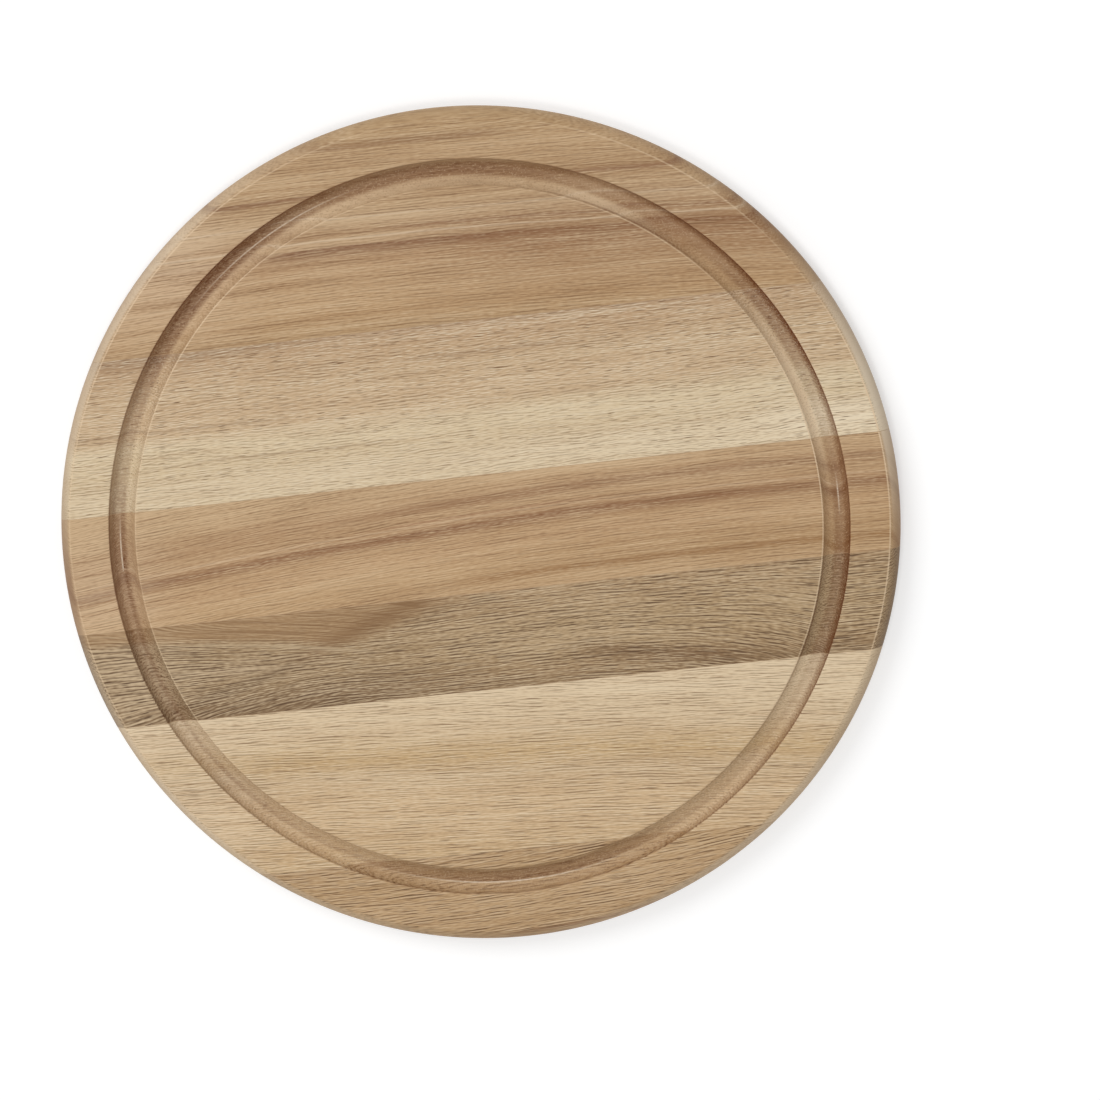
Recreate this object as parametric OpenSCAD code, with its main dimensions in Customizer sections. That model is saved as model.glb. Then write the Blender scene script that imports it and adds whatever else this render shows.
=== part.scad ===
// Round serving board: hardwood staves edge-glued into a slab that is cut round,
// with a rounded edge and a juice groove in the serving face.
// Millimetres. The board lies flat with its serving face up and its staves along X.
// The origin is the centre of the underside, and +Y is the back of the board.

/* [Board] */
// Diameter over the rounded edge
board_d = 330; // [300:1:420]
// Thickness between the two flat faces
board_t = 16; // [12:0.5:24]
// How far the rounded edge swells out past the flat faces
edge_swell = 4.75; // [2:0.25:6]

/* [Juice groove] */
// From the board's outermost edge in to the groove's outer wall
groove_margin = 20.25; // [12:0.25:40]
// Width at the serving face, between the walls
groove_w = 10.25; // [8:0.25:14]
// Depth below the serving face
groove_depth = 3.5; // [2.5:0.25:3.5]
// From the outer wall in to the groove's deepest line: this wall is the steeper one
outer_wall_run = 3.6; // [3.5:0.05:5]
// How far the gentler inner side's own low line lies inside the deepest line
floor_run = 0.6; // [0.4:0.1:1.5]
// Width by which a chamfer eases each lip of the groove
lip_ease = 0.5; // [0.2:0.1:1]
// Slope of that chamfer below the serving face, in degrees
lip_angle = 30; // [20:1:35]

/* [Staves] */
// From the board's centre back to the middle of the first seam
first_seam_y = 82.75; // [65:0.25:100]
// Width of the second stave from the back, seam face to seam face
second_stave_w = 59.75; // [45:0.25:80]
// Width of the third stave
third_stave_w = 46; // [30:0.25:65]
// Width of the fourth stave
fourth_stave_w = 38.5; // [25:0.25:58]
// Width of the fifth stave
fifth_stave_w = 65.25; // [45:0.25:85]
// Thickness of the glue line in each seam
glue_t = 0.15; // [0.1:0.05:0.4]

/* [Hidden] */
$fn = 180;

// How far a cutting shape runs past the face it cuts
overrun = 1;

// Rounded edge: one arc through both face rims and the widest circle
board_r = board_d / 2;
edge_arc_r = (pow(board_t / 2, 2) + pow(edge_swell, 2)) / (2 * edge_swell);
edge_arc_x = board_r - edge_arc_r;

// Groove: two arcs of the stated depth, each from one wall's lip to its own low line
groove_path_r = board_r - groove_margin - groove_w / 2;
groove_low_r = board_r - groove_margin - outer_wall_run;
inner_wall_run = groove_w - outer_wall_run - floor_run;
function flank_r(run) = (pow(run, 2) + pow(groove_depth, 2)) / (2 * groove_depth);
lip_half_w = groove_w / 2 + lip_ease;
chamfer_depth = 2 * lip_ease;
function chamfer_half_w(depth) = lip_half_w - depth / tan(lip_angle);

// Seams, counted from the back: the middle of each glue line and its two faces
inner_widths = [second_stave_w, third_stave_w, fourth_stave_w, fifth_stave_w];
function seam_y(i) = i == 0 ? first_seam_y : seam_y(i - 1) - glue_t - inner_widths[i - 1];
function seam_back_y(i) = seam_y(i) + glue_t / 2;
function seam_front_y(i) = seam_y(i) - glue_t / 2;

// Half of the board's section before the groove: the flat slab and its rounded edge
module blank_section() {
    square([edge_arc_x, board_t]);
    intersection() {
        square([board_r, board_t]);
        translate([edge_arc_x, board_t / 2])
            circle(r = edge_arc_r);
    }
}

// One side of the groove as a full circle whose low line is at a given radius
module flank(low_r, run) {
    translate([low_r, board_t - groove_depth + flank_r(run)])
        circle(r = flank_r(run));
}

// Section of the groove: steep outer side, gentle inner side, and a chamfer whose flanks end inside them
module groove_section() {
    flank(groove_low_r, outer_wall_run);
    intersection() {
        flank(groove_low_r - floor_run, inner_wall_run);
        translate([groove_low_r - groove_w, 0])
            square([groove_w, 2 * board_t]);
    }
    translate([groove_path_r, board_t])
        polygon([
            [-chamfer_half_w(-overrun), overrun],
            [chamfer_half_w(-overrun), overrun],
            [chamfer_half_w(chamfer_depth), -chamfer_depth],
            [-chamfer_half_w(chamfer_depth), -chamfer_depth]
        ]);
}

// The whole turned board
module board() {
    rotate_extrude()
        difference() {
            blank_section();
            groove_section();
        }
}

// The part of the board between two planes across Y
module board_slice(front_y, back_y) {
    intersection() {
        board();
        translate([-board_r - overrun, front_y, -overrun])
            cube([2 * (board_r + overrun), back_y - front_y, board_t + 2 * overrun]);
    }
}

// Back edge stave: tan brown with dark red-brown streaks
module stave_1_back_edge() {
    color("#B08F6D")
        board_slice(seam_back_y(0), board_r + overrun);
}

// Wide pale stave behind the centre, flecked with pores
module stave_2_back_wide() {
    color("#C7AF8F")
        board_slice(seam_back_y(1), seam_front_y(0));
}

// Centre stave: reddish tan with one dark streak along it
module stave_3_centre() {
    color("#B29372")
        board_slice(seam_back_y(2), seam_front_y(1));
}

// Narrow grey-brown stave, the darkest one
module stave_4_narrow() {
    color("#A08668")
        board_slice(seam_back_y(3), seam_front_y(2));
}

// Wide cream stave in front of the centre
module stave_5_front_wide() {
    color("#C6AC8A")
        board_slice(seam_back_y(4), seam_front_y(3));
}

// Front edge stave: tan brown
module stave_6_front_edge() {
    color("#B09170")
        board_slice(-board_r - overrun, seam_front_y(4));
}

// Film of cured glue that fills one seam, flush with the faces, edge and groove
module glue_line(i) {
    color("#8A6E50")
        board_slice(seam_front_y(i), seam_back_y(i));
}

stave_1_back_edge();
stave_2_back_wide();
stave_3_centre();
stave_4_narrow();
stave_5_front_wide();
stave_6_front_edge();
glue_line(0);  // glue_line_1_2
glue_line(1);  // glue_line_2_3
glue_line(2);  // glue_line_3_4
glue_line(3);  // glue_line_4_5
glue_line(4);  // glue_line_5_6
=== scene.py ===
"""A round serving board: six edge-glued hardwood staves with a juice groove, dressed around its solids."""
import logging
import math
from dataclasses import dataclass, field, replace
from enum import Enum
from typing import Callable, NamedTuple, Optional, Sequence, Union

import bmesh
import bpy
from mathutils import Matrix, Vector


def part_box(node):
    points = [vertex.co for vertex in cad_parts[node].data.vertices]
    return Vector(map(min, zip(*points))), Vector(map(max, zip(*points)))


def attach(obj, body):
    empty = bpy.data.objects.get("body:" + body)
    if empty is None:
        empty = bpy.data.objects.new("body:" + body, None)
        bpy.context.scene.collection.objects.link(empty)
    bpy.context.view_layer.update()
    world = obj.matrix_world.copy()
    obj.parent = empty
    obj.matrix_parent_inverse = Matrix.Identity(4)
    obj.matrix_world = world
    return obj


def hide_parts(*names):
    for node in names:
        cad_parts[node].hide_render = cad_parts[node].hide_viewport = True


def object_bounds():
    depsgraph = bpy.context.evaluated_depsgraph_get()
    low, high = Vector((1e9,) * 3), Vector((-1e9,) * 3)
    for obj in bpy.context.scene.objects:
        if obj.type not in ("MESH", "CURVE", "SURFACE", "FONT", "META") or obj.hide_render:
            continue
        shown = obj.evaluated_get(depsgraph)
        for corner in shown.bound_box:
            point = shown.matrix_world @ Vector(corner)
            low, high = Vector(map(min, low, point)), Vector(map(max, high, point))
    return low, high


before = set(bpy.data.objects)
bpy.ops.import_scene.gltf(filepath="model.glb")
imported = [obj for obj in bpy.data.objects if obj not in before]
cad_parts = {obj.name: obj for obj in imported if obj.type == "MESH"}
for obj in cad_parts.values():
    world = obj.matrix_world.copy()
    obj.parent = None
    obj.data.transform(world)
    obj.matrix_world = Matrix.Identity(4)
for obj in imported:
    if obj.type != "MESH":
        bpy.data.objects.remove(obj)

CAD_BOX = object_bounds()
LOG = logging.getLogger("serving_board")
MM = 0.001
HUNDRED_MM = 100.0
WHITE = (1.0, 1.0, 1.0, 1.0)
BODY = "root"

Tone = tuple[int, int, int]
Arc = tuple[float, float, float]
Value = Union[float, "Signal"]


def linear(tone: Tone) -> tuple[float, float, float, float]:
    """Turn a colour as seen on a screen into the linear colour that a shader takes.

    Args:
        tone: red, green and blue from 0 to 255.

    Returns:
        Linear red, green, blue and an alpha of one.
    """
    shares = [channel / 255.0 for channel in tone]
    red, green, blue = [s / 12.92 if s <= 0.04045 else ((s + 0.055) / 1.055) ** 2.4 for s in shares]
    return red, green, blue, 1.0


class Signal:
    """A number that varies over the wood, carried by the output of a node."""

    def __init__(self, graph: "NodeGraph", socket: bpy.types.NodeSocket) -> None:
        """Hold the output that carries the number."""
        self.graph = graph
        self.socket = socket

    def __add__(self, other: Value) -> "Signal":
        """Give the sum of the two numbers."""
        return self.graph.math("ADD", self, other)

    def __sub__(self, other: Value) -> "Signal":
        """Give this number less the other."""
        return self.graph.math("SUBTRACT", self, other)

    def __rsub__(self, other: Value) -> "Signal":
        """Give the other number less this one."""
        return self.graph.math("SUBTRACT", other, self)

    def __mul__(self, other: Value) -> "Signal":
        """Give the product of the two numbers."""
        return self.graph.math("MULTIPLY", self, other)

    def __truediv__(self, other: Value) -> "Signal":
        """Give this number as a share of the other."""
        return self.graph.math("DIVIDE", self, other)

    def __abs__(self) -> "Signal":
        """Give the number without its sign."""
        return self.graph.math("ABSOLUTE", self)

    def root(self) -> "Signal":
        """Give the square root."""
        return self.graph.math("SQRT", self)

    def kept(self) -> "Signal":
        """Give the number held between zero and one."""
        return self.graph.math("ADD", self, 0.0, clamp=True)

    def ease(self, start: float, end: float) -> "Signal":
        """Rise smoothly with this number.

        Args:
            start: where the rise is still zero.
            end: where the rise has reached one, on either side of the start.

        Returns:
            A number from zero to one.
        """
        node = self.graph.add("ShaderNodeMapRange", interpolation_type="SMOOTHSTEP")
        self.graph.feed(node.inputs["Value"], self)
        node.inputs["From Min"].default_value = start
        node.inputs["From Max"].default_value = end
        return Signal(self.graph, node.outputs["Result"])

    def ring(self, middle: float, reach: float) -> "Signal":
        """Give a soft band round a middle value.

        Args:
            middle: the value at which the band is full.
            reach: how far off the band has faded out.

        Returns:
            A number from zero to one.
        """
        return abs(self - middle).ease(reach, 0.0)


class NodeGraph:
    """Short calls that each add a node to a material and join it to what feeds it."""

    def __init__(self, tree: bpy.types.NodeTree) -> None:
        """Hold the tree that the calls add to."""
        self.tree = tree

    def add(self, kind: str, **options: object) -> bpy.types.Node:
        """Add one node.

        Args:
            kind: the node's type.
            options: its settings by name.

        Returns:
            The new node.
        """
        node = self.tree.nodes.new(kind)
        for name, option in options.items():
            setattr(node, name, option)
        return node

    def feed(self, socket: bpy.types.NodeSocket, value: object) -> None:
        """Join a socket to what feeds it, or set it to a fixed value.

        Args:
            socket: the input to feed.
            value: a signal, an output, a number or a colour.
        """
        if isinstance(value, Signal):
            self.tree.links.new(value.socket, socket)
        elif isinstance(value, bpy.types.NodeSocket):
            self.tree.links.new(value, socket)
        else:
            socket.default_value = value

    def math(self, operation: str, *values: Value, clamp: bool = False) -> Signal:
        """Work out one sum.

        Args:
            operation: the name of the sum.
            values: the numbers that go in.
            clamp: whether the result is held between zero and one.

        Returns:
            The result.
        """
        node = self.add("ShaderNodeMath", operation=operation, use_clamp=clamp)
        for socket, value in zip(node.inputs, values):
            self.feed(socket, value)
        return Signal(self, node.outputs[0])

    def place(self) -> tuple[Signal, Signal, Signal]:
        """Find the place on the board.

        Returns:
            Millimetres along the staves, across them, and up.
        """
        source = self.add("ShaderNodeTexCoord")
        scaled = self.add("ShaderNodeVectorMath", operation="SCALE")
        self.feed(scaled.inputs[0], source.outputs["Object"])
        scaled.inputs["Scale"].default_value = 1.0 / MM
        return self.parts(scaled.outputs[0])

    def facing(self) -> tuple[Signal, Signal, Signal]:
        """Give the way the surface faces, along the staves, across them, and up."""
        return self.parts(self.add("ShaderNodeTexCoord").outputs["Normal"])

    def parts(self, vector: bpy.types.NodeSocket) -> tuple[Signal, Signal, Signal]:
        """Split a vector.

        Args:
            vector: the output that carries it.

        Returns:
            Its three numbers.
        """
        node = self.add("ShaderNodeSeparateXYZ")
        self.feed(node.inputs[0], vector)
        first, second, third = node.outputs
        return Signal(self, first), Signal(self, second), Signal(self, third)

    def point(self, x: Value, y: Value, z: Value) -> bpy.types.NodeSocket:
        """Join three numbers into a vector.

        Args:
            x: the first number.
            y: the second.
            z: the third.

        Returns:
            The output that carries the vector.
        """
        node = self.add("ShaderNodeCombineXYZ")
        for socket, value in zip(node.inputs, (x, y, z)):
            self.feed(socket, value)
        return node.outputs[0]

    def noise(self, x: Value, y: Value, z: Value, detail: float = 2.0, rough: float = 0.5) -> Signal:
        """Read cloudy noise at a point whose numbers are in grains of that noise.

        Args:
            x: place along the staves.
            y: place across them.
            z: place through the thickness.
            detail: how many finer layers the noise has.
            rough: how strong each finer layer is.

        Returns:
            A number round a half.
        """
        node = self.add("ShaderNodeTexNoise", noise_dimensions="3D")
        self.feed(node.inputs["Vector"], self.point(x, y, z))
        node.inputs["Scale"].default_value = 1.0
        node.inputs["Detail"].default_value = detail
        node.inputs["Roughness"].default_value = rough
        return Signal(self, node.outputs["Fac"])

    def cells(self, x: Value, y: Value, z: Value) -> tuple[Signal, Signal]:
        """Scatter one seed in each cell of a grid.

        Args:
            x: place along the staves.
            y: place across them.
            z: place through the thickness.

        Returns:
            The distance from the nearest seed, and that seed's own lot from zero to one.
        """
        node = self.add("ShaderNodeTexVoronoi", voronoi_dimensions="3D", feature="F1")
        self.feed(node.inputs["Vector"], self.point(x, y, z))
        node.inputs["Scale"].default_value = 1.0
        lot = self.parts(node.outputs["Color"])[0]
        return Signal(self, node.outputs["Distance"]), lot

    def ramp(self, share: Signal, stops: Sequence[tuple[float, Tone]]) -> bpy.types.NodeSocket:
        """Turn a number into a colour.

        Args:
            share: the number, from zero to one.
            stops: the colours at given numbers, in rising order.

        Returns:
            The colour.
        """
        node = self.add("ShaderNodeValToRGB")
        band = node.color_ramp
        band.interpolation = "LINEAR"
        while len(band.elements) < len(stops):
            band.elements.new(0.5)
        for element, (position, tone) in zip(band.elements, stops):
            element.position = position
            element.color = linear(tone)
        self.feed(node.inputs[0], share)
        return node.outputs["Color"]

    def paint(self, under: object, over: object, share: Value) -> bpy.types.NodeSocket:
        """Lay one colour over another.

        Args:
            under: the colour below.
            over: the colour laid on.
            share: how much of it covers.

        Returns:
            The mixed colour.
        """
        node = self.add("ShaderNodeMix", data_type="RGBA", clamp_factor=True)
        factor, first, second = [s for s in node.inputs if s.enabled]
        self.feed(factor, share)
        self.feed(first, under)
        self.feed(second, over)
        return next(s for s in node.outputs if s.enabled)


def start_material(name: str) -> tuple[bpy.types.Material, NodeGraph, bpy.types.Node]:
    """Start a material.

    Args:
        name: what it is called.

    Returns:
        The material, its nodes and its shader.
    """
    made = bpy.data.materials.new(name)
    made.use_nodes = True
    return made, NodeGraph(made.node_tree), made.node_tree.nodes["Principled BSDF"]


class Place(NamedTuple):
    """A place in the wood in millimetres: along the stave, across it and below the serving face."""

    x: Signal
    y: Signal
    depth: Signal

    @property
    def graph(self) -> NodeGraph:
        """Give the nodes that the place belongs to."""
        return self.x.graph

    def noise(self, length: float, width: float, deep: Value, detail: float, rough: float = 0.5) -> Signal:
        """Read noise with grains that long and wide, at a depth counted in grains."""
        return self.graph.noise(self.x / length, self.y / width, deep, detail, rough)


@dataclass(frozen=True)
class Streak:
    """One band of another tone that follows the grain of a stave, with lengths in millimetres."""

    at: float
    below: float
    above: float
    tone: Tone
    strength: float
    start: Optional[float] = None
    end: Optional[float] = None
    fade: float = 14.0
    tilt: float = 0.0

    def share(self, x: Signal, level: Signal) -> Signal:
        """Work out where the streak shows.

        Args:
            x: place along the stave.
            level: place across the grain.

        Returns:
            How much of the streak covers, from zero to its strength.
        """
        if self.tilt:
            level = level - x / HUNDRED_MM * self.tilt
        shown = level.ease(self.at - self.below, self.at) * level.ease(self.at + self.above, self.at)
        if self.start is not None:
            shown = shown * x.ease(self.start - self.fade, self.start + self.fade)
        if self.end is not None:
            shown = shown * x.ease(self.end + self.fade, self.end - self.fade)
        return shown * self.strength


@dataclass(frozen=True)
class Pores:
    """One size of open vessels, seen as short dark dashes on a face and as dots on end grain."""

    length: float = 11.0
    width: float = 0.8
    core: float = 0.12
    rim: float = 0.25
    front: float = 0.4
    back: float = 0.4
    left: float = 0.0
    right: float = 0.0
    bunching: float = 0.8
    strength: float = 0.6
    tone: Tone = (100, 70, 44)
    ends_from: float = 40.0
    ends_full: float = 130.0
    steepness: float = 3.0

    def and_smaller(self, **changes: float) -> tuple["Pores", "Pores"]:
        """List these pores with a smaller size of them, which differs in what is named."""
        return self, replace(self, **changes)

    def opened(self, x: Signal, across: Signal, bunch: Signal, lot: Signal) -> Signal:
        """Say how far a vessel is open.

        Args:
            x: place along the stave.
            across: place across the stave, from zero at its front edge to one at its back edge.
            bunch: soft noise that gathers the vessels.
            lot: the vessel's own chance number.

        Returns:
            A number from zero to one.
        """
        chance = across * (self.back - self.front) + (bunch - 0.5) * (2.0 * self.bunching) + self.front
        if self.left:
            chance = chance + x.ease(-self.ends_from, -self.ends_full) * self.left
        if self.right:
            chance = chance + x.ease(self.ends_from, self.ends_full) * self.right
        return ((chance - lot) * self.steepness).kept()


@dataclass(frozen=True)
class Turning:
    """Where the turned details of the board lie, in millimetres from its axis and underside.

    The upper side and the shoulder begin at shares of the thickness.
    """

    thickness: float
    inner_lip: float
    outer_lip: float
    low_line: float
    face_radius: float
    rim_fade: float = 1.5
    upper_from: float = 0.5
    upper_full: float = 0.65
    shoulder_from: float = 0.25


class Zones:
    """Soft masks of the turned details, each one on its detail and zero away from it."""

    def __init__(self, turning: Turning, x: Signal, y: Signal, z: Signal) -> None:
        """Measure a place round the board's axis and up from its underside.

        Args:
            turning: where the turned details of the board lie.
            x: place along the staves.
            y: place across them.
            z: height above the underside.
        """
        top, face = turning.thickness, turning.face_radius
        inner, outer = turning.inner_lip, turning.outer_lip
        self.turning = turning
        self.height = z
        self.radius = (x * x + y * y).root()
        self.turn = x.graph.math("ARCTAN2", y, x) * math.degrees(1.0)
        self.upper = z.ease(turning.upper_from * top, turning.upper_full * top)
        self.rim = self.radius.ease(face, face + turning.rim_fade)
        self.shoulder = self.rim * z.ease(turning.shoulder_from * top, top)
        self.groove = self.band(inner - 0.1, inner + 0.5, outer - 0.5, outer + 0.1)

    def band(self, start: float, full: float, fading: float, end: float) -> Signal:
        """Give a band of the upper side, by the radii where it starts, is full, fades and ends."""
        return self.radius.ease(start, full) * self.radius.ease(end, fading) * self.upper

    def line(self, middle: float, reach: float) -> Signal:
        """Give a thin line round the upper side, by its radius and how far off it has faded out."""
        return self.radius.ring(middle, reach) * self.upper

    def slope(self) -> Signal:
        """Give the upper half of the groove's long inner slope."""
        inner = self.turning.inner_lip
        return self.band(inner, inner + 0.6, inner + 2.6, inner + 5.0)

    def descent(self) -> Signal:
        """Give the whole inner slope, from below the lip to the low line."""
        inner, low = self.turning.inner_lip, self.turning.low_line
        return self.band(inner + 0.4, inner + 1.8, low - 1.0, low)

    def floor(self) -> Signal:
        """Give the lower part of the groove, on both sides of the low line."""
        inner, outer = self.turning.inner_lip, self.turning.outer_lip
        return self.band(inner + 3.2, inner + 5.4, outer - 1.6, outer)

    def wall(self) -> Signal:
        """Give the groove's steep outer wall up to its lip."""
        low, outer = self.turning.low_line, self.turning.outer_lip
        return self.band(low + 0.8, outer - 0.3, outer, outer + 0.3)

    def arcs(self, listed: Sequence[Arc]) -> Signal:
        """Give soft arcs of the board's round.

        Args:
            listed: the arcs.

        Returns:
            An arc's strength in its middle, zero outside all of them.
        """
        (middle, reach, strength), *others = listed
        shown = self.turn.ring(middle, reach) * strength
        for middle, reach, strength in others:
            shown = shown + self.turn.ring(middle, reach) * strength
        return shown


@dataclass(frozen=True)
class WearAndLight:
    """Burn and oil marks on the turned details, together with painted shade, painted highlights and painted
    light, each in arcs of the board's round.

    An arc is its middle and half length in degrees, counted from the right towards the back, and
    its strength.
    """

    # Dark red-brown for burn marks and for painted shade in the groove and on its lips.
    burn_and_shade: Tone = (98, 46, 8)
    # Brown for oil soaked into the groove and for painted shade.
    oil_and_shade: Tone = (96, 48, 4)
    # Pale cream for painted light on the inner slope and painted highlights on the lips and crease, partly
    # edge wear.
    edge: Tone = (226, 200, 166)
    # Pale cream for painted light on the bullnose.
    rim_light_tone: Tone = (224, 207, 182)
    # Near-white for the painted highlight line in the groove.
    highlight_tone: Tone = (230, 212, 188)
    # Painted shade all round the groove floor and outer wall, mixed with oil and burn darkening.
    all_round: float = 0.1
    # Painted shade: a thin dark line round the whole outer lip.
    outer_lip_shade: float = 0.2
    fibre_breakup: float = 1.4
    least_breakup: float = 0.3
    pale_specks: float = 0.3
    pale_from: float = 0.55
    pale_full: float = 0.75
    dark_specks: float = 0.4
    dark_from: float = 0.45
    dark_full: float = 0.25
    # Painted shade on the groove's outer wall, strongest where the wall faces away from the key lamp, mixed
    # with burn marks.
    burnt_and_shaded_lip: tuple[Arc, ...] = (
        (126.0, 42.0, 0.55),
        (180.0, 26.0, 0.28),
        (-180.0, 26.0, 0.28),
        (-12.0, 35.0, 0.55),
        (-46.0, 36.0, 0.26),
        (28.0, 30.0, 0.75),
        (56.0, 24.0, 0.32),
    )
    # Painted shade on the groove floor, strongest on the north and north-west, mixed with oil darkening.
    oiled_and_shaded_floor: tuple[Arc, ...] = (
        (110.0, 66.0, 0.36),
        (136.0, 28.0, 0.32),
        (84.0, 26.0, 0.26),
        (32.0, 20.0, 0.42),
        (180.0, 30.0, 0.44),
        (-180.0, 30.0, 0.36),
        (-145.0, 22.0, 0.14),
        (-9.0, 38.0, 0.36),
    )
    # Painted shade on the inner slope along the front, which faces away from the key lamp.
    oiled_and_shaded_front: tuple[Arc, ...] = (
        (-90.0, 38.0, 0.48),
        (-128.0, 26.0, 0.2),
        (-58.0, 36.0, 0.14),
        (-180.0, 44.0, 0.2),
        (-146.0, 22.0, 0.12),
        (180.0, 18.0, 0.2),
    )
    # Painted shade: a dark line just inside the inner lip, where it faces away from the light.
    shaded_inner_lip: tuple[Arc, ...] = (
        (-20.0, 18.0, 0.5),
        (-80.0, 40.0, 0.3),
        (-42.0, 24.0, 0.24),
        (-128.0, 32.0, 0.3),
        (60.0, 26.0, 0.4),
    )
    # Painted light on the groove's inner slope where it faces the lamps.
    painted_lit_slope: tuple[Arc, ...] = ((95.0, 45.0, 0.32), (18.0, 20.0, 0.75), (63.0, 12.0, 0.5))
    # Arcs where the groove is glossier and carries a painted highlight line.
    glossy: tuple[Arc, ...] = ((119.0, 20.0, 0.85), (177.0, 7.0, 1.0), (0.0, 4.0, 1.0), (-91.0, 25.0, 1.0))
    # Painted highlights on the inner lip and the crease, mixed with edge wear.
    bright: tuple[Arc, ...] = (
        (-8.0, 50.0, 0.85),
        (16.0, 22.0, 0.8),
        (56.0, 30.0, 0.6),
        (140.0, 65.0, 0.8),
        (-162.0, 34.0, 0.5),
    )
    # Painted shade on the bullnose shoulder at the left end.
    shaded_rim: tuple[Arc, ...] = ((180.0, 14.0, 0.4), (-180.0, 16.0, 0.4))
    # Painted light on the bullnose shoulder, standing in for the reflection of bright surroundings.
    lit_rim: tuple[Arc, ...] = (
        (144.0, 48.0, 0.5),
        (-142.0, 46.0, 0.36),
        (-52.0, 40.0, 0.36),
        (14.0, 26.0, 0.85),
    )


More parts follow.
